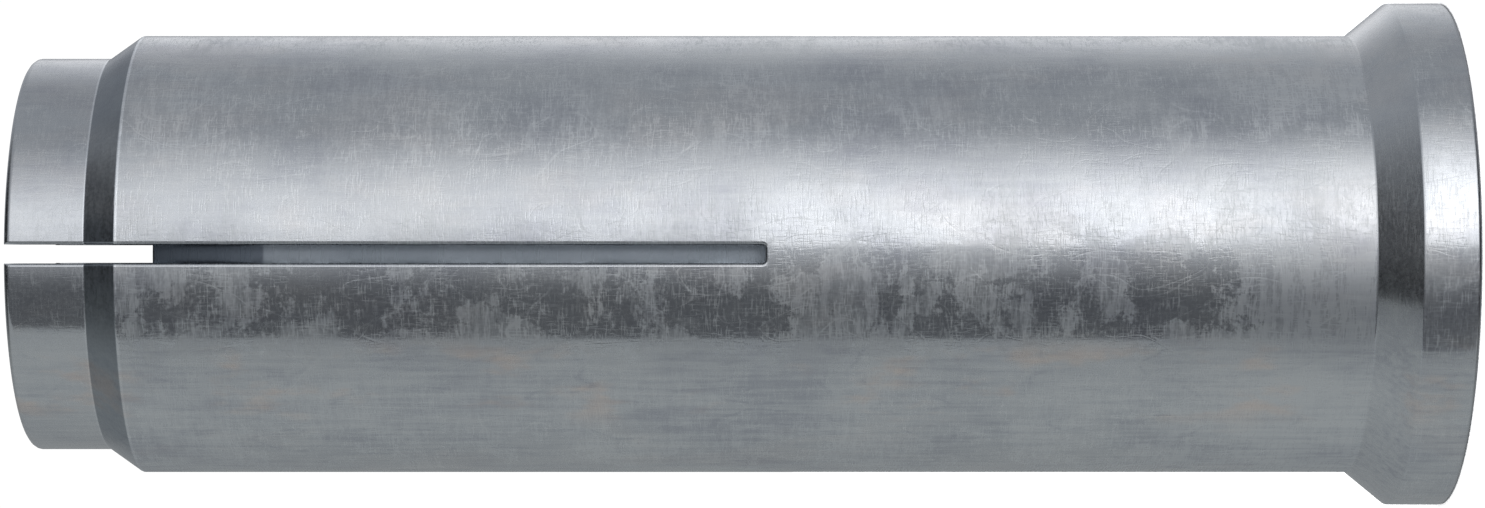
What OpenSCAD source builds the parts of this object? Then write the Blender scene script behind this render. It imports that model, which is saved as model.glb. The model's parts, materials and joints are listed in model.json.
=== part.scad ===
// Drop-in anchor with its factory-fitted expander plug, in millimetres.
// It stands on its rim: the threaded mouth is at z = 0 and the expansion end is at the top.

/* [Sleeve] */
// Overall length, from the rim face to the expansion end
length = 80; // [72:1:90]
// Outside diameter of the body
body_d = 24.9; // [24.2:0.1:26]
// Outside diameter of the rim
rim_d = 28.6; // [27.5:0.1:31]
// Height of the rim's straight edge
rim_h = 3.05; // [2:0.05:4]
// Height of the flare between the rim and the body
flare_h = 2.25; // [1:0.05:3.5]
// Radius on the rim's two outer edges
rim_edge_r = 0.2; // [0.1:0.05:0.6]
// Outside diameter of the reduced expansion end
end_d = 22.3; // [21:0.1:23.4]
// Height of the reduced expansion end
end_h = 4.4; // [2.5:0.1:6]
// Height of the cone from the body down to the reduced end
step_h = 1.85; // [1:0.05:3]
// Radius on the outer edge of the expansion end
end_edge_r = 0.45; // [0.1:0.05:0.6]
// Chamfer on the inner edge of the expansion end
end_chamfer = 0.3; // [0.1:0.05:0.6]

/* [Thread] */
// Nominal diameter of the internal thread
thread_d = 20; // [18:0.5:20.5]
// Pitch of the internal thread
thread_pitch = 2.5; // [1.5:0.5:2.5]
// Depth of the threaded hole from the rim face
thread_depth = 34; // [28:0.5:35]
// Radial room by which the entry chamfer clears the thread
mouth_room = 0.3; // [0.1:0.05:0.6]

/* [Slots] */
// Number of slots, which part the expansion end into legs
slot_count = 4; // [2:1:6]
// Width of each slot
slot_w = 1.04; // [0.8:0.02:2]
// Length of each slot from the expansion end
slot_l = 41.55; // [36:0.05:44]
// Radius in the corners at the root of each slot
slot_root_r = 0.18; // [0.1:0.02:0.36]

/* [Expander plug] */
// Radial room between the plug and the thread that it is loaded through
load_room = 0.647; // [0.4:0.001:1.2]
// Radial running clearance between the plug and the sleeve
plug_gap = 0.05; // [0.02:0.01:0.09]
// Height of the plug's conical nose
nose_h = 6.45; // [4:0.05:8]
// Diameter of the flat tip of the nose
nose_tip_d = 11.7; // [9:0.1:13]
// Depth of the nose tip below the expansion end, as supplied
plug_setback = 7.4; // [6:0.1:9]
// Free travel of the plug until its nose meets the taper
plug_travel = 3.5; // [2:0.1:4.5]
// Axial room between the end of the threaded hole and the plug
plug_rear_room = 0.5; // [0.2:0.1:1.5]
// Size of the chamfers on the plug's rear edge and nose tip
plug_chamfer = 0.4; // [0.1:0.05:0.8]

/* [Hidden] */
$fn = 128;
EPS = 0.01;
ARC_STEPS = 6;

body_r = body_d / 2;
rim_r = rim_d / 2;
end_r = end_d / 2;

// An internal thread's minor diameter is 1.0825 pitches under its nominal one
THREAD_MINOR = 1.0825;
thread_r = (thread_d - THREAD_MINOR * thread_pitch) / 2;
mouth_r = thread_d / 2 + mouth_room;

plug_r = thread_r - load_room;
nose_tip_r = nose_tip_d / 2;
nose_tip_z = length - plug_setback;
shoulder_z = nose_tip_z - nose_h;
plug_rear_z = thread_depth + plug_rear_room;

// The sleeve's taper is parallel to the nose and stands one free travel ahead of it
bore_r = plug_r + plug_gap;
seat_r = nose_tip_r + plug_gap;
taper_z = shoulder_z + plug_travel;
seat_z = nose_tip_z + plug_travel;

flare_z = rim_h + flare_h;
end_z = length - end_h;
step_z = end_z - step_h;
slot_root_z = length - slot_l;

// Points of a quarter-like arc about [cx, cz], from angle a0 to a1
function arc(cx, cz, r, a0, a1) = [
    for (i = [0:ARC_STEPS])
        let (a = a0 + (a1 - a0) * i / ARC_STEPS)
        [cx + r * cos(a), cz + r * sin(a)]
];

// The turned outside: rim, flare, body, step cone and reduced end
module sleeve_blank() {
    flare_a = atan2(rim_r - body_r, flare_h);
    // The edge turns through the flare's own angle, so its arc starts this far below the corner
    edge_drop = rim_edge_r * tan(flare_a / 2);
    rotate_extrude()
        polygon(concat(
            [[0, 0]],
            arc(rim_r - rim_edge_r, rim_edge_r, rim_edge_r, -90, 0),
            arc(rim_r - rim_edge_r, rim_h - edge_drop, rim_edge_r, 0, flare_a),
            [[body_r, flare_z], [body_r, step_z], [end_r, end_z]],
            arc(end_r - end_edge_r, length - end_edge_r, end_edge_r, 0, 90),
            [[0, length]]
        ));
}

// The threaded hole, cut to the thread's minor diameter, and its entry chamfer
module threaded_hole() {
    translate([0, 0, -EPS])
        cylinder(r = thread_r, h = thread_depth + EPS);
    translate([0, 0, -EPS])
        cylinder(r1 = mouth_r + EPS, r2 = thread_r, h = mouth_r - thread_r + EPS);
}

// The smooth bore that guides the plug, its taper, and the land at the end
module expansion_bore() {
    // The drill leaves a cone where the threaded hole meets the smooth bore
    drill_cone_h = (thread_r - bore_r) / 2;
    translate([0, 0, thread_depth - EPS])
        cylinder(r = bore_r, h = taper_z - thread_depth + EPS);
    translate([0, 0, thread_depth - EPS])
        cylinder(r1 = thread_r, r2 = bore_r, h = drill_cone_h);
    translate([0, 0, taper_z])
        cylinder(r1 = bore_r, r2 = seat_r, h = seat_z - taper_z);
    translate([0, 0, seat_z - EPS])
        cylinder(r = seat_r, h = length - seat_z + 2 * EPS);
    translate([0, 0, length - end_chamfer])
        cylinder(r1 = seat_r, r2 = seat_r + end_chamfer + EPS, h = end_chamfer + EPS);
}

// One slot, from the axis outwards along +X, with rounded corners at its root
module slot() {
    reach = rim_r;
    translate([0, -slot_w / 2, slot_root_z + slot_root_r])
        cube([reach, slot_w, slot_l]);
    translate([0, -slot_w / 2 + slot_root_r, slot_root_z])
        cube([reach, slot_w - 2 * slot_root_r, slot_l]);
    for (side = [-1, 1])
        translate([0, side * (slot_w / 2 - slot_root_r), slot_root_z + slot_root_r])
            rotate([0, 90, 0])
                cylinder(r = slot_root_r, h = reach, $fn = 24);
}

module sleeve() {
    // The first slot faces -Y, and the turned faces have their seam in the middle of a leg
    first_slot_a = -90;
    slot_step_a = 360 / slot_count;
    color([0.60, 0.62, 0.65])
        difference() {
            rotate([0, 0, first_slot_a + slot_step_a / 2])
                sleeve_blank();
            threaded_hole();
            expansion_bore();
            for (i = [0:slot_count - 1])
                rotate([0, 0, first_slot_a + slot_step_a * i])
                    slot();
        }
}

// The plug: a turned pin whose nose is a cone with a flat tip
module expander_plug() {
    nose_a = atan2(plug_r - nose_tip_r, nose_h);
    // The tip's chamfer takes this much off the flat and off the cone's height
    tip_cut = plug_chamfer * cos(nose_a);
    color([0.70, 0.71, 0.72])
        rotate_extrude()
            polygon([
                [0, plug_rear_z],
                [plug_r - plug_chamfer, plug_rear_z],
                [plug_r, plug_rear_z + plug_chamfer],
                [plug_r, shoulder_z],
                [nose_tip_r + tip_cut * tan(nose_a), nose_tip_z - tip_cut],
                [nose_tip_r - tip_cut, nose_tip_z],
                [0, nose_tip_z]
            ]);
}

sleeve();
expander_plug();
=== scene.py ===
import json
import math

import bpy
from mathutils import Matrix, Vector


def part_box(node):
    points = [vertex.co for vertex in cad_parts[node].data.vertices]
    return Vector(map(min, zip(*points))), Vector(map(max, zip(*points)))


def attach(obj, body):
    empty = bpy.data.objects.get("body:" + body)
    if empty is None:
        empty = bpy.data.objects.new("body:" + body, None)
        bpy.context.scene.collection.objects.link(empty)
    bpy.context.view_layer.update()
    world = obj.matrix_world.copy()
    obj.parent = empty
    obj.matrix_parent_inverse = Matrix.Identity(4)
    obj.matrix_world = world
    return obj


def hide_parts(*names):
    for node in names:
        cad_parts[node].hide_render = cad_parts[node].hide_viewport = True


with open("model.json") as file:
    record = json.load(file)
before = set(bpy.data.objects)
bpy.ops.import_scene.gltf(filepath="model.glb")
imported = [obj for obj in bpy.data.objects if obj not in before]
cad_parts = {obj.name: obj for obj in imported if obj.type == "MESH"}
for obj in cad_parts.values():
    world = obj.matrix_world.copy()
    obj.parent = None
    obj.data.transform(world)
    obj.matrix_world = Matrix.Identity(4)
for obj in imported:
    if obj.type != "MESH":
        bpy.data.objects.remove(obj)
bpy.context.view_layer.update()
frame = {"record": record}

# The sleeve's blank
# One bar of steel, turned on a lathe: the flared rim, the body, the step cone and the reduced
# expansion end outside, and the smooth bore with its taper inside. Its edges are lightly broken.
MM = 0.001
mounts = {m["name"]: m for m in frame["record"]["mounts"]}
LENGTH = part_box("sleeve")[1].z
RIM_R = 14.3 * MM
BODY_R = mounts["drilled_hole_seat"]["dims"]["r_mm"] * MM
THREAD_R = mounts["internal_thread"]["dims"]["r_mm"] * MM
END_R = 11.15 * MM
RIM_H = 3.05 * MM
FLARE_H = 2.25 * MM
STEP_H = 1.85 * MM
END_H = 4.4 * MM
THREAD_DEPTH = 34.0 * MM
ENTRY_R = 10.3 * MM
BORE_R = 8.05 * MM
LAND_R = 5.9 * MM
TAPER_Z = LENGTH - 10.35 * MM
LAND_Z = LENGTH - 3.9 * MM
SLOT_L = 41.55 * MM
# Roundings, a chamfer, and the cone that the drill leaves
ENTRY_EDGE = 0.12 * MM
RIM_EDGE = 0.2 * MM
CONE_EDGE = 0.25 * MM
CONE_FOOT = 0.15 * MM
END_EDGE = 0.45 * MM
LAND_CHAMFER = 0.3 * MM
BORE_EDGE = 0.5 * MM
DRILL_CONE_H = 0.3 * MM
# Flat sides round a turned piece, and how near two corners lie to be made one, in metres
SIDES = 112
SAME_PLACE = 1e-7


def rounded(corners, steps=4):
    """The outline's points, with each (radius, height, rounding) corner turned into an arc."""
    points = []
    for i, (r, z, rounding) in enumerate(corners):
        here = Vector((r, z))
        if not rounding:
            points.append(here)
            continue
        before = (Vector(corners[i - 1][:2]) - here).normalized()
        after = (Vector(corners[(i + 1) % len(corners)][:2]) - here).normalized()
        half = before.angle(after) / 2
        middle = here + (before + after).normalized() * rounding / math.sin(half)
        start = here + before * rounding / math.tan(half) - middle
        end = here + after * rounding / math.tan(half) - middle
        for k in range(steps + 1):
            points.append(middle + start.slerp(end, k / steps) * rounding)
    return points


def turned(name, points, solid=False):
    """An outline of (radius, height) points turned about Z, one extruded ring at a time.

    A hollow piece's outline closes on itself, and a solid piece gets a flat face at each end.
    """
    bpy.ops.object.select_all(action="DESELECT")
    r, z = points[0]
    bpy.ops.mesh.primitive_circle_add(vertices=SIDES, radius=r, location=(0, 0, z))
    piece = bpy.context.object
    piece.name = piece.data.name = name
    # Half a side's turn puts the slots in the middle of a side
    piece.data.transform(Matrix.Rotation(math.pi / SIDES, 4, "Z"))
    bpy.ops.object.transform_apply(location=True, rotation=True, scale=True)
    bpy.ops.object.mode_set(mode="EDIT")
    bpy.ops.mesh.select_all(action="SELECT")
    rings = points[1:] if solid else points[1:] + points[:1]
    for next_r, next_z in rings:
        bpy.ops.mesh.extrude_region_move(TRANSFORM_OT_translate={"value": (0, 0, next_z - z)})
        widen = next_r / r
        bpy.ops.transform.resize(value=(widen, widen, 1), center_override=(0, 0, next_z))
        r, z = next_r, next_z
    bpy.ops.mesh.select_all(action="SELECT")
    bpy.ops.mesh.remove_doubles(threshold=SAME_PLACE)
    if solid:
        bpy.ops.mesh.fill_holes(sides=0)
        bpy.ops.mesh.select_all(action="SELECT")
    bpy.ops.mesh.normals_make_consistent(inside=False)
    bpy.ops.object.mode_set(mode="OBJECT")
    return piece


def carve(piece, tool, operation="DIFFERENCE"):
    """Cuts the tool out of the piece, or keeps what both share, and throws the tool away."""
    cut = piece.modifiers.new("cut", "BOOLEAN")
    cut.object = tool
    cut.operation = operation
    cut.solver = "EXACT"
    bpy.context.view_layer.objects.active = piece
    bpy.ops.object.modifier_apply(modifier=cut.name)
    bpy.data.objects.remove(tool)


# An extra ring just under the slots keeps their corners from marking the body's long faces
below_slots = LENGTH - SLOT_L - 0.5 * MM
sleeve = turned("sleeve_turned", rounded([
    (ENTRY_R, 0, ENTRY_EDGE),
    (RIM_R, 0, RIM_EDGE),
    (RIM_R, RIM_H, RIM_EDGE),
    (BODY_R, RIM_H + FLARE_H, RIM_EDGE),
    (BODY_R, below_slots, 0),
    (BODY_R, LENGTH - END_H - STEP_H, CONE_EDGE),
    (END_R, LENGTH - END_H, CONE_FOOT),
    (END_R, LENGTH, END_EDGE),
    (LAND_R + LAND_CHAMFER, LENGTH, 0),
    (LAND_R, LENGTH - LAND_CHAMFER, 0),
    (LAND_R, LAND_Z, BORE_EDGE),
    (BORE_R, TAPER_Z, BORE_EDGE),
    (BORE_R, below_slots, 0),
    (BORE_R, THREAD_DEPTH + DRILL_CONE_H, 0),
    (THREAD_R, THREAD_DEPTH, 0),
    (THREAD_R, ENTRY_R - THREAD_R, 0),
]))

# The slots
# Four slots, sawn from the expansion end, part the wall into legs that the plug later spreads. The
# saw leaves slightly round corners at the root, and tumbling breaks the sharp outer edges.
SLOT_W = 1.04 * MM
SLOT_CORNER = 0.18 * MM
SLOT_BREAK = 0.17 * MM
HAIR = 0.001 * MM


def saw(axis):
    """The plate that a saw sweeps right through the sleeve, along the X or the Y axis."""
    past_end = 5 * MM
    low = LENGTH - SLOT_L
    height = SLOT_L + past_end
    bpy.ops.object.select_all(action="DESELECT")
    bpy.ops.mesh.primitive_cube_add(size=1, location=(0, 0, low + height / 2))
    plate = bpy.context.object
    reach = 4 * BODY_R
    plate.scale = (reach, SLOT_W, height) if axis == "X" else (SLOT_W, reach, height)
    bpy.ops.object.transform_apply(location=True, rotation=True, scale=True)
    for edge in plate.data.edges:
        ends = [plate.data.vertices[v].co for v in edge.vertices]
        along = abs((ends[1] - ends[0])["XY".index(axis)]) > SLOT_W
        edge.select = along and max(e.z for e in ends) < low + SLOT_CORNER
    for face in plate.data.polygons:
        face.select = False
    bpy.ops.object.mode_set(mode="EDIT")
    bpy.ops.mesh.select_mode(type="EDGE")
    bpy.ops.mesh.bevel(offset=SLOT_CORNER, segments=4)
    bpy.ops.object.mode_set(mode="OBJECT")
    return plate


for axis in "XY":
    carve(sleeve, saw(axis))


def break_slot_edges(piece):
    """Rounds the slots' sharp edges on the outside and across the end face."""
    def on_wall(v):
        in_slot = min(abs(v.x), abs(v.y)) < SLOT_W / 2 + HAIR
        outside = v.xy.length > END_R - SLOT_BREAK
        return in_slot and (outside or v.z > LENGTH - HAIR)

    bpy.ops.object.select_all(action="DESELECT")
    bpy.context.view_layer.objects.active = piece
    bpy.ops.object.mode_set(mode="EDIT")
    bpy.ops.mesh.select_mode(type="EDGE")
    bpy.ops.mesh.select_all(action="DESELECT")
    bpy.ops.mesh.edges_select_sharp(sharpness=math.radians(50))
    bpy.ops.object.mode_set(mode="OBJECT")
    for edge in piece.data.edges:
        ends = [piece.data.vertices[v].co for v in edge.vertices]
        if edge.select:
            edge.select = all(on_wall(e) for e in ends) and ends[0].z > LENGTH - SLOT_L - HAIR
    bpy.ops.object.mode_set(mode="EDIT")
    bpy.ops.mesh.bevel(offset=SLOT_BREAK, segments=3)
    bpy.ops.object.mode_set(mode="OBJECT")


break_slot_edges(sleeve)

# The thread
# A right-hand thread, cut with a tap from the rim's end: 2.5 mm pitch, 60 degree flanks, a flat at
# the root of an eighth of the pitch, and a few turns that run out where the tap's lead cut.
PITCH = 2.5 * MM
MAJOR_R = 10.0 * MM
ROOT_FLAT = PITCH / 8
TAP_CORE_R = THREAD_R - 0.1 * MM
FLANK = (MAJOR_R - TAP_CORE_R) * math.tan(math.radians(30))
# Turns that the sweep makes past each end of the thread, before its ends are cut flat
SPARE_TURNS = 3


def tap():
    """The body that the tap sweeps: a helical ridge on a core, with its ends cut flat."""
    bpy.ops.object.select_all(action="DESELECT")
    bpy.ops.mesh.primitive_circle_add(vertices=3, radius=1 * MM)
    sweep = bpy.context.object
    bpy.ops.object.mode_set(mode="EDIT")
    bpy.ops.mesh.select_mode(type="VERT")
    bpy.ops.mesh.select_all(action="SELECT")
    bpy.ops.mesh.merge(type="CENTER")
    bpy.ops.transform.translate(value=(TAP_CORE_R, 0, -SPARE_TURNS * PITCH))
    ridge = [
        (MAJOR_R - TAP_CORE_R, FLANK),
        (0, ROOT_FLAT),
        (TAP_CORE_R - MAJOR_R, FLANK),
        (0, PITCH - 2 * FLANK - ROOT_FLAT),
    ]
    for out, up in ridge:
        bpy.ops.mesh.extrude_region_move(TRANSFORM_OT_translate={"value": (out, 0, up)})
    bpy.ops.object.mode_set(mode="OBJECT")
    sweep.data.transform(Matrix.Rotation(math.pi / SIDES, 4, "Z"))
    bpy.ops.object.transform_apply(location=True, rotation=True, scale=True)
    turns = sweep.modifiers.new("turns", "SCREW")
    turns.axis = "Z"
    turns.screw_offset = PITCH
    turns.iterations = round(THREAD_DEPTH / PITCH) + 2 * SPARE_TURNS
    turns.steps = turns.render_steps = SIDES
    turns.use_merge_vertices = True
    turns.merge_threshold = SAME_PLACE
    bpy.ops.object.modifier_apply(modifier=turns.name)
    bpy.ops.object.mode_set(mode="EDIT")
    for height, clear_low in ((-PITCH / 2, True), (THREAD_DEPTH + PITCH, False)):
        bpy.ops.mesh.select_all(action="SELECT")
        bpy.ops.mesh.bisect(
            plane_co=(0, 0, height), plane_no=(0, 0, 1), use_fill=True,
            clear_inner=clear_low, clear_outer=not clear_low,
        )
    bpy.ops.mesh.select_all(action="SELECT")
    bpy.ops.mesh.remove_doubles(threshold=SAME_PLACE)
    bpy.ops.mesh.normals_make_consistent(inside=False)
    bpy.ops.object.mode_set(mode="OBJECT")
    return sweep


def tap_outline():
    """The tap's outer form, with a hole along its middle: straight, then a lead that narrows."""
    hole = 0.5 * MM
    wide = MAJOR_R + 0.2 * MM
    low = -PITCH / 4
    lead = THREAD_DEPTH - 2.2 * PITCH
    tip = THREAD_DEPTH - 0.1 * MM
    return turned("tap_outline", [
        Vector((hole, low)),
        Vector((wide, low)),
        Vector((wide, lead)),
        Vector((THREAD_R - 0.05 * MM, tip)),
        Vector((hole, tip)),
    ])


def merge_doubles(piece):
    """Merges the corners that the cuts left on top of each other."""
    bpy.ops.object.select_all(action="DESELECT")
    bpy.context.view_layer.objects.active = piece
    bpy.ops.object.mode_set(mode="EDIT")
    bpy.ops.mesh.select_all(action="SELECT")
    bpy.ops.mesh.remove_doubles(threshold=SAME_PLACE)
    bpy.ops.object.mode_set(mode="OBJECT")


def smooth_turned(piece):
    """Smooths the piece, and points the normals of its lathe-cut faces straight away from the axis.

    Faces inside a bore point straight towards the axis.
    """
    bpy.ops.object.select_all(action="DESELECT")
    piece.select_set(True)
    bpy.context.view_layer.objects.active = piece
    bpy.ops.object.shade_smooth_by_angle(angle=math.radians(32))
    mesh = piece.data
    corner_normals = [Vector(corner.vector) for corner in mesh.corner_normals]
    lathe_cut = math.cos(math.radians(3))
    for face in mesh.polygons:
        tilt = face.normal.xy
        spoke = face.center.xy
        facing = tilt.normalized().dot(spoke.normalized()) if tilt.length > 1e-6 else 0
        if abs(facing) < lathe_cut:
            continue
        outward = 1 if facing > 0 else -1
        for corner in face.loop_indices:
            normal = corner_normals[corner]
            place = mesh.vertices[mesh.loops[corner].vertex_index].co
            level = place.xy.normalized() * outward * normal.xy.length
            corner_normals[corner] = Vector((level.x, level.y, normal.z))
    mesh.normals_split_custom_set(corner_normals)


cutter = tap()
carve(cutter, tap_outline(), "INTERSECT")
carve(sleeve, cutter)
merge_doubles(sleeve)
smooth_turned(sleeve)
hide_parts("sleeve")
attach(sleeve, "sleeve")

# The sleeve's plating
# Thin electroplated zinc with a clear blue passivation, tumbled in a barrel: it mirrors the room
# softly, is cloudy and dull in patches, and carries fine turning marks and scratches.
ZINC_DARK = (0.46, 0.48, 0.52)
ZINC_MID = (0.55, 0.575, 0.60)
ZINC_LIGHT = (0.61, 0.632, 0.648)
# These multiply the zinc's colour: brown stains, painted shade, painted highlights and dull zinc
BROWN_STAIN = (1.18, 0.99, 0.88)
# Painted shade that darkens the step cone
CONE_SHADE = (0.54, 0.57, 0.60)
# A painted highlight on the edges at each end of the step cone
EDGE_HIGHLIGHT = (1.4, 1.4, 1.4)
DULL_ZINC = (1.17, 1.17, 1.16)


class Wire:
    """One output in a node tree. Arithmetic on wires adds Math nodes, and put() adds any other."""

    def __init__(self, tree, socket=None):
        self.tree = tree
        self.socket = socket

    def put(self, kind, settings=None, out=0, **sockets):
        """Adds a node. A socket is given by its name, or by its number after an underscore."""
        node = self.tree.nodes.new(kind)
        for name, value in (settings or {}).items():
            if name == "stops":
                ramp = node.color_ramp
                while len(ramp.elements) < len(value):
                    ramp.elements.new(0.5)
                for element, (place, shade) in zip(ramp.elements, value):
                    element.position = place
                    element.color = (*shade, 1)
            else:
                setattr(node, name, value)
        for name, value in sockets.items():
            place = int(name[1:]) if name[0] == "_" else name.replace("_", " ")
            socket = node.inputs[place]
            if isinstance(value, Wire):
                self.tree.links.new(value.socket, socket)
            else:
                socket.default_value = value
        return Wire(self.tree, node.outputs[out] if len(node.outputs) else None)

    def math(self, operation, *values):
        inputs = {f"_{i}": value for i, value in enumerate(values)}
        return self.put("ShaderNodeMath", {"operation": operation}, **inputs)

    def __add__(self, other):
        return self.math("ADD", self, other)

    def __radd__(self, other):
        return self.math("ADD", other, self)

    def __sub__(self, other):
        return self.math("SUBTRACT", self, other)

    def __rsub__(self, other):
        return self.math("SUBTRACT", other, self)

    def __mul__(self, other):
        return self.math("MULTIPLY", self, other)

    def __rmul__(self, other):
        return self.math("MULTIPLY", other, self)

    def __neg__(self):
        return self.math("MULTIPLY", self, -1.0)

    def step(self, low, high, to_low=0.0, to_high=1.0):
        """A smooth step from to_low to to_high as this value goes from low to high."""
        return self.put(
            "ShaderNodeMapRange", {"interpolation_type": "SMOOTHSTEP"},
            _0=self, _1=low, _2=high, _3=to_low, _4=to_high,
        )


def new_material(name):
    material = bpy.data.materials.new(name)
    material.use_nodes = True
    material.node_tree.nodes.clear()
    return material, Wire(material.node_tree)


def in_mm(w, stretch=(1, 1, 1)):
    """The place on the piece in millimetres, with each axis stretched."""
    place = w.put("ShaderNodeTexCoord", out="Object")
    return w.put(
        "ShaderNodeVectorMath", {"operation": "MULTIPLY"}, _0=place,
        _1=tuple(s / MM for s in stretch),
    )


def noise(w, size, detail, rough, stretch=(1, 1, 1), warp=0.0):
    """Noise about 0.5, with lumps of about that size in millimetres."""
    return w.put(
        "ShaderNodeTexNoise", out="Fac", Vector=in_mm(w, stretch), Scale=1 / size,
        Detail=detail, Roughness=rough, Distortion=warp,
    )


def hairline(w, size, stretch, width):
    """Thin wandering lines where a soft noise passes its middle: 1 on a line and 0 beside it."""
    off_middle = w.math("ABSOLUTE", noise(w, size, 1.0, 0.5, stretch) - 0.5)
    return off_middle.step(0.0, width, 1.0, 0.0)


def band(value, low, high, soft=0.08):
    """1 where the value lies between low and high, and 0 elsewhere, with soft ends."""
    return value.step(low - soft, low) * value.step(high - soft, high, 1.0, 0.0)


def tinted(w, color, tint, amount=1.0):
    """The colour multiplied by the tint, by an amount from 0 to 1."""
    return w.put(
        "ShaderNodeMix", {"data_type": "RGBA", "blend_type": "MULTIPLY"}, out=2,
        _0=amount, _6=color, _7=(*tint, 1),
    )


def zinc_plate():
    material, w = new_material("zinc_plate")

    # The parts of the sleeve by height, and its sides by how far they lie across it, in millimetres
    height = w.put("ShaderNodeSeparateXYZ", out=2, Vector=in_mm(w))
    across = w.put("ShaderNodeSeparateXYZ", out=0, Vector=in_mm(w))
    rim_top = RIM_H / MM
    flare_top = (RIM_H + FLARE_H) / MM
    cone_low = (LENGTH - END_H - STEP_H) / MM
    cone_high = (LENGTH - END_H) / MM
    on_rim = height.step(rim_top - 0.1, rim_top, 1.0, 0.0)
    on_flare = band(height, rim_top, flare_top + 0.1)
    on_cone = band(height, cone_low + 0.05, cone_high)
    on_end = height.step(cone_high - 0.05, cone_high + 0.02)
    body_edge = band(height, cone_low - 0.10, cone_low + 0.04)
    end_foot = band(height, cone_high, cone_high + 0.1)
    near_rim = height.step(8.0, 17.0, 1.0, 0.0)
    lit_side = across.step(0.4, 1.6)
    low_side = across.step(-5.4, -4.8, 1.0, 0.0)

    # The plating's clouds and grain, the lathe's rings, the bar's drawing lines, and scratches
    cloud = noise(w, 6.0, 5.0, 0.62, stretch=(1.0, 1.0, 0.7))
    grain = noise(w, 0.2, 2.0, 0.6)
    turning = noise(w, 0.36, 3.0, 0.65, stretch=(0.16, 0.16, 1.0))
    drawing = noise(w, 0.6, 3.0, 0.65, stretch=(2.0, 2.0, 0.12))
    patch = noise(w, 6.0, 7.0, 0.66, warp=0.4) + 0.10 * turning + 0.10 * grain - 0.10
    dashes_up = noise(w, 1.0, 1.0, 0.5, stretch=(11.0, 11.0, 1.3)).step(0.53, 0.65)
    dashes_round = noise(w, 1.0, 1.0, 0.5, stretch=(1.3, 1.3, 11.0)).step(0.53, 0.65)
    hairlines = hairline(w, 4.0, (1.0, 0.4, 0.8), 0.008)
    hairlines = hairlines + hairline(w, 3.0, (0.8, 1.0, 0.35), 0.008)
    scratched = noise(w, 2.4, 4.0, 0.65).step(0.40, 0.58)
    marks = (0.45 * dashes_up + 0.9 * dashes_round + 0.6 * hairlines) * (0.3 + 0.7 * scratched)
    less_marked = 1.0 - 0.2 * on_rim - 0.7 * on_flare - 0.8 * on_cone - 0.4 * on_end
    marks = marks * less_marked

    # How dull it is: patches rubbed along the lathe's rings, softer on the lit side
    worn = (patch + 0.24 * near_rim).step(0.46, 0.52)
    worn = worn + (patch.step(0.30, 0.68) - worn) * lit_side
    rubbed = turning.step(0.40, 0.62)
    less_rubbed = 1.0 - 0.68 * on_rim - 0.87 * on_flare - 0.6 * on_cone - 0.95 * on_end
    rubbing = worn * (0.36 + 0.38 * rubbed + 0.30 * near_rim) * less_rubbed
    dull = 0.04 + rubbing + 0.12 * grain.step(0.4, 0.6) + 0.58 * marks + 0.22 * on_cone

    # Its colour: cloudy zinc, faint brown stains, painted shade on the cone, painted edge
    # highlights
    creases = hairline(w, 2.5, (1.0, 1.0, 0.5), 0.03) * scratched * scratched
    streaks = (0.34 * drawing - 0.17 - 0.09 * creases) * low_side
    zinc = w.put("ShaderNodeValToRGB", {"stops": [
        (0.36, ZINC_DARK), (0.5, ZINC_MID), (0.64, ZINC_LIGHT),
    ]}, Fac=0.68 * cloud + 0.20 * drawing + 0.12 * turning + 0.05 * marks + streaks)
    stain = noise(w, 4.0, 4.0, 0.6, stretch=(1, 1, 0.45)).step(0.50, 0.62)
    stain_strip = across.step(-9.6, -8.0) * across.step(-5.6, -4.6, 1.0, 0.0)
    stained = tinted(w, zinc, BROWN_STAIN, stain * (0.08 + 0.6 * stain_strip))
    # Painted shade darkens the step cone, less towards the lit side
    painted_cone_shade = on_cone * across.step(-11.6, -10.0, 0.3, 1.0)
    painted_cone_shade = painted_cone_shade * (1.0 - 0.7 * band(across, 3.0, 7.5, 2.0))
    cone_shaded = tinted(w, stained, CONE_SHADE, painted_cone_shade)
    # A painted highlight along the cone's two edges, stronger towards the lit side
    painted_edge_highlight = (body_edge + end_foot) * across.step(-6.0, 2.0, 0.25, 0.9)
    color = tinted(w, cone_shaded, EDGE_HIGHLIGHT, painted_edge_highlight)

    relief = turning * 0.5 + drawing * 0.3 + grain * 0.12 - marks * 0.7
    bump = w.put("ShaderNodeBump", Strength=1.0, Distance=0.005 * MM, Height=relief)
    sharp = w.put(
        "ShaderNodeBsdfPrincipled", Base_Color=color, Metallic=1.0,
        Roughness=0.08 + 0.06 * cloud, Normal=bump,
    )
    soft = w.put(
        "ShaderNodeBsdfPrincipled", Base_Color=tinted(w, color, DULL_ZINC), Metallic=1.0,
        Roughness=0.40 + 0.12 * patch, Normal=bump,
    )
    both = w.put("ShaderNodeMixShader", _0=dull, _1=sharp, _2=soft)
    w.put("ShaderNodeOutputMaterial", Surface=both)
    return material


sleeve.data.materials.clear()
sleeve.data.materials.append(zinc_plate())

# The expander plug
# A pin turned from bright steel, loaded through the threaded end and lightly pressed into the
# smooth bore. Its conical nose points at the sleeve's taper. It is left unplated.
plug_low, plug_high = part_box("expander_plug")
PLUG_R = plug_high.x
NOSE_TIP_R = 5.85 * MM
NOSE_H = 6.45 * MM
PLUG_CHAMFER = 0.4 * MM
CHAMFER_EDGE = 0.1 * MM
SHOULDER_EDGE = 0.3 * MM
TIP_EDGE = 0.2 * MM
# Inside this radius each end of the plug is one flat face
FLAT_R = 2.0 * MM
# The steel's colours are darkened as painted shade for its place inside the sleeve; the nose more
STEEL_DARK = (0.30, 0.34, 0.38)
STEEL_LIGHT = (0.37, 0.41, 0.45)
NOSE_SHADE = (0.68, 0.70, 0.74)

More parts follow.
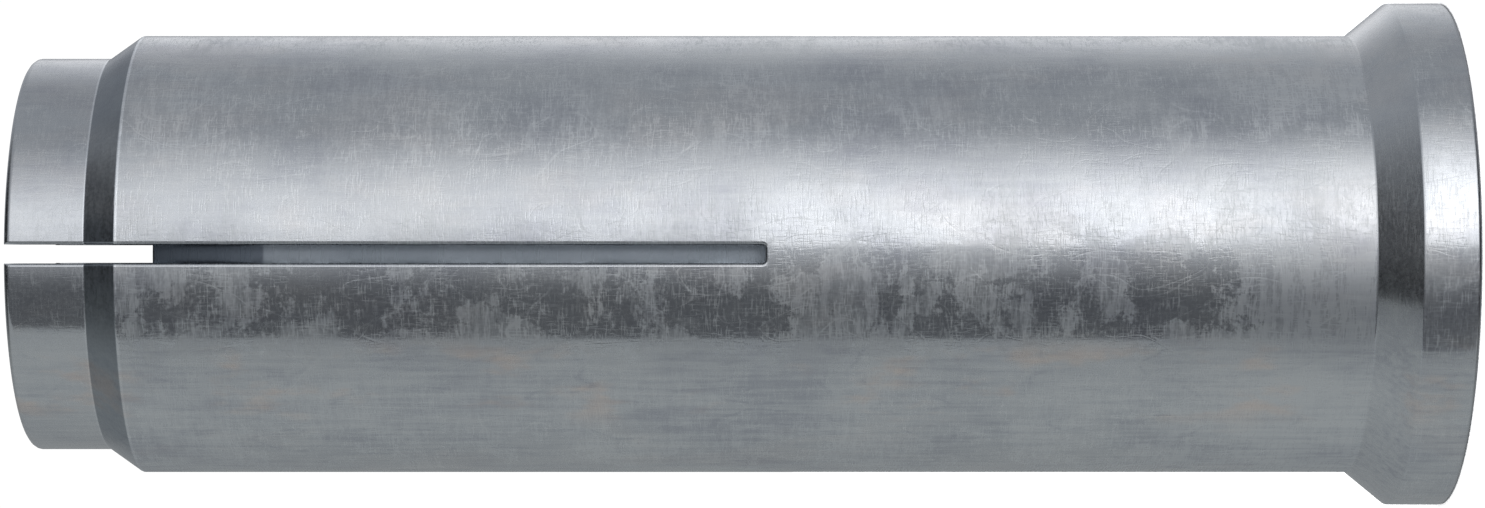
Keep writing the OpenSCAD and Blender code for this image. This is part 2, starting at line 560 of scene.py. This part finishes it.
plug = turned("plug_turned", rounded([
    (FLAT_R, plug_low.z, 0),
    (PLUG_R - PLUG_CHAMFER, plug_low.z, CHAMFER_EDGE),
    (PLUG_R, plug_low.z + PLUG_CHAMFER, CHAMFER_EDGE),
    (PLUG_R, plug_high.z - NOSE_H, SHOULDER_EDGE),
    (NOSE_TIP_R, plug_high.z, TIP_EDGE),
    (FLAT_R, plug_high.z, 0),
]), solid=True)
smooth_turned(plug)
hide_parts("expander_plug")
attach(plug, "plug")


def bright_steel():
    """Bright steel with faint turning rings, darkened all over by painted shade, the nose most."""
    material, w = new_material("bright_steel")
    turning = noise(w, 0.6, 4.0, 0.65, stretch=(0.06, 0.06, 5.0))
    cloud = noise(w, 5.0, 3.0, 0.6)
    height = w.put("ShaderNodeSeparateXYZ", out=2, Vector=in_mm(w))
    shoulder = (plug_high.z - NOSE_H) / MM
    on_nose = height.step(shoulder - 0.1, shoulder + 0.1)
    shaded_steel = w.put("ShaderNodeValToRGB", {"stops": [
        (0.3, STEEL_DARK), (0.7, STEEL_LIGHT),
    ]}, Fac=cloud)
    bump = w.put("ShaderNodeBump", Strength=1.0, Distance=0.001 * MM, Height=turning)
    steel = w.put(
        "ShaderNodeBsdfPrincipled", Base_Color=tinted(w, shaded_steel, NOSE_SHADE, on_nose), Metallic=1.0,
        Roughness=0.2 + 0.12 * turning, Normal=bump,
    )
    w.put("ShaderNodeOutputMaterial", Surface=steel)
    return material


plug.data.materials.clear()
plug.data.materials.append(bright_steel())

# The studio
# The anchor stands on a white floor and mirrors a dim room, with a long softbox on its +X side
# and a grey wall on the other. The camera is turned, so that the anchor lies in the picture.
CAMERA_DISTANCE = 233.8 * MM
CAMERA_HEIGHT = 39.70 * MM
SENSOR = 36
PHOTO_W = 1485
FOCAL_PX = 4089.7
SOFTBOX_TINT = (1.02, 1.0, 1.0, 1)
ROOM_TINT = (0.960, 1.0, 1.070, 1)
WALL_TINT = (0.955, 1.0, 1.0, 1)
BACKDROP = (1, 1, 1, 1)


def studio_light():
    """What the metal mirrors, and the white that the camera sees behind it."""
    world = bpy.data.worlds.new("studio")
    bpy.context.scene.world = world
    world.use_nodes = True
    world.node_tree.nodes.clear()
    w = Wire(world.node_tree)
    way = w.put("ShaderNodeTexCoord", out="Generated")
    split = w.put("ShaderNodeSeparateXYZ", Vector=way)
    x, y, z = (Wire(w.tree, split.socket.node.outputs[i]) for i in range(3))
    # Angles go about Z in degrees, from the camera's side towards +X
    angle = w.math("ARCTAN2", x, -y) * (180 / math.pi)
    off_level = z.math("ABSOLUTE", z)

    near_glow = angle.step(-30.0, 8.0)
    glow = near_glow * near_glow
    fall = angle.step(18.0, 74.0, 1.0, 0.0)
    edge = 0.7 * angle.step(3.4, 4.6) + 0.3 * angle.step(4.0, 16.0)
    towards_rim = z.step(-0.20, 0.16, 1.65, 0.49)
    open_middle = off_level.step(0.45, 0.82, 1.0, 0.0)
    softbox = fall * (0.275 * glow + edge * towards_rim) * open_middle
    back_strip = 0.58 * angle.step(105.0, 160.0) * angle.step(158.0, 172.0, 1.0, 0.0)
    back_strip = back_strip * off_level.step(0.1, 0.5, 1.0, 0.0)
    room = (0.118 + 0.272 * glow) * off_level.step(0.70, 0.97, 1.0, 0.04)
    wall = (angle - 11.0 * off_level.step(0.80, 0.93)).step(-44.8, -44.2, 0.300, 0.0)
    wall = wall * angle.step(-175.0, -80.0, 0.62, 1.0) * off_level.step(0.84, 0.99, 1.0, 0.05)

    lights = [
        w.put("ShaderNodeBackground", Color=SOFTBOX_TINT, Strength=softbox + back_strip),
        w.put("ShaderNodeBackground", Color=ROOM_TINT, Strength=room),
        w.put("ShaderNodeBackground", Color=WALL_TINT, Strength=wall),
    ]
    mirrored = w.put("ShaderNodeAddShader", _0=lights[0], _1=lights[1])
    mirrored = w.put("ShaderNodeAddShader", _0=mirrored, _1=lights[2])
    plain = w.put("ShaderNodeBackground", Color=BACKDROP, Strength=1.05)
    seen = w.put("ShaderNodeLightPath", out="Is Camera Ray")
    both = w.put("ShaderNodeMixShader", _0=seen, _1=mirrored, _2=plain)
    w.put("ShaderNodeOutputWorld", Surface=both)


def white_floor():
    bpy.ops.object.select_all(action="DESELECT")
    bpy.ops.mesh.primitive_plane_add(size=6, location=(0, 0, -0.02 * MM))
    floor = bpy.context.object
    floor.name = "floor"
    floor.visible_glossy = False
    material, w = new_material("floor_white")
    paint = w.put("ShaderNodeBsdfDiffuse", Color=(0.9, 0.9, 0.9, 1))
    w.put("ShaderNodeOutputMaterial", Surface=paint)
    floor.data.materials.append(material)


def floor_light():
    """A light from straight above lifts the floor to plain white. The metal doesn't mirror it."""
    bpy.ops.object.light_add(type="SUN", location=(0, 0, 1))
    lamp = bpy.context.object
    lamp.data.angle = math.radians(20)
    lamp.data.energy = 4.5
    lamp.visible_glossy = False


def camera():
    bpy.ops.object.camera_add(location=(0, -CAMERA_DISTANCE, CAMERA_HEIGHT))
    view = bpy.context.object
    right, up, back = Vector((0, 0, -1)), Vector((1, 0, 0)), Vector((0, -1, 0))
    view.rotation_euler = Matrix((right, up, back)).transposed().to_euler()
    view.data.sensor_width = SENSOR
    view.data.lens = SENSOR * FOCAL_PX / PHOTO_W
    view.data.clip_start = 0.01
    view.data.clip_end = 20
    bpy.context.scene.camera = view


studio_light()
white_floor()
floor_light()
camera()
bpy.context.scene.view_settings.view_transform = "Standard"
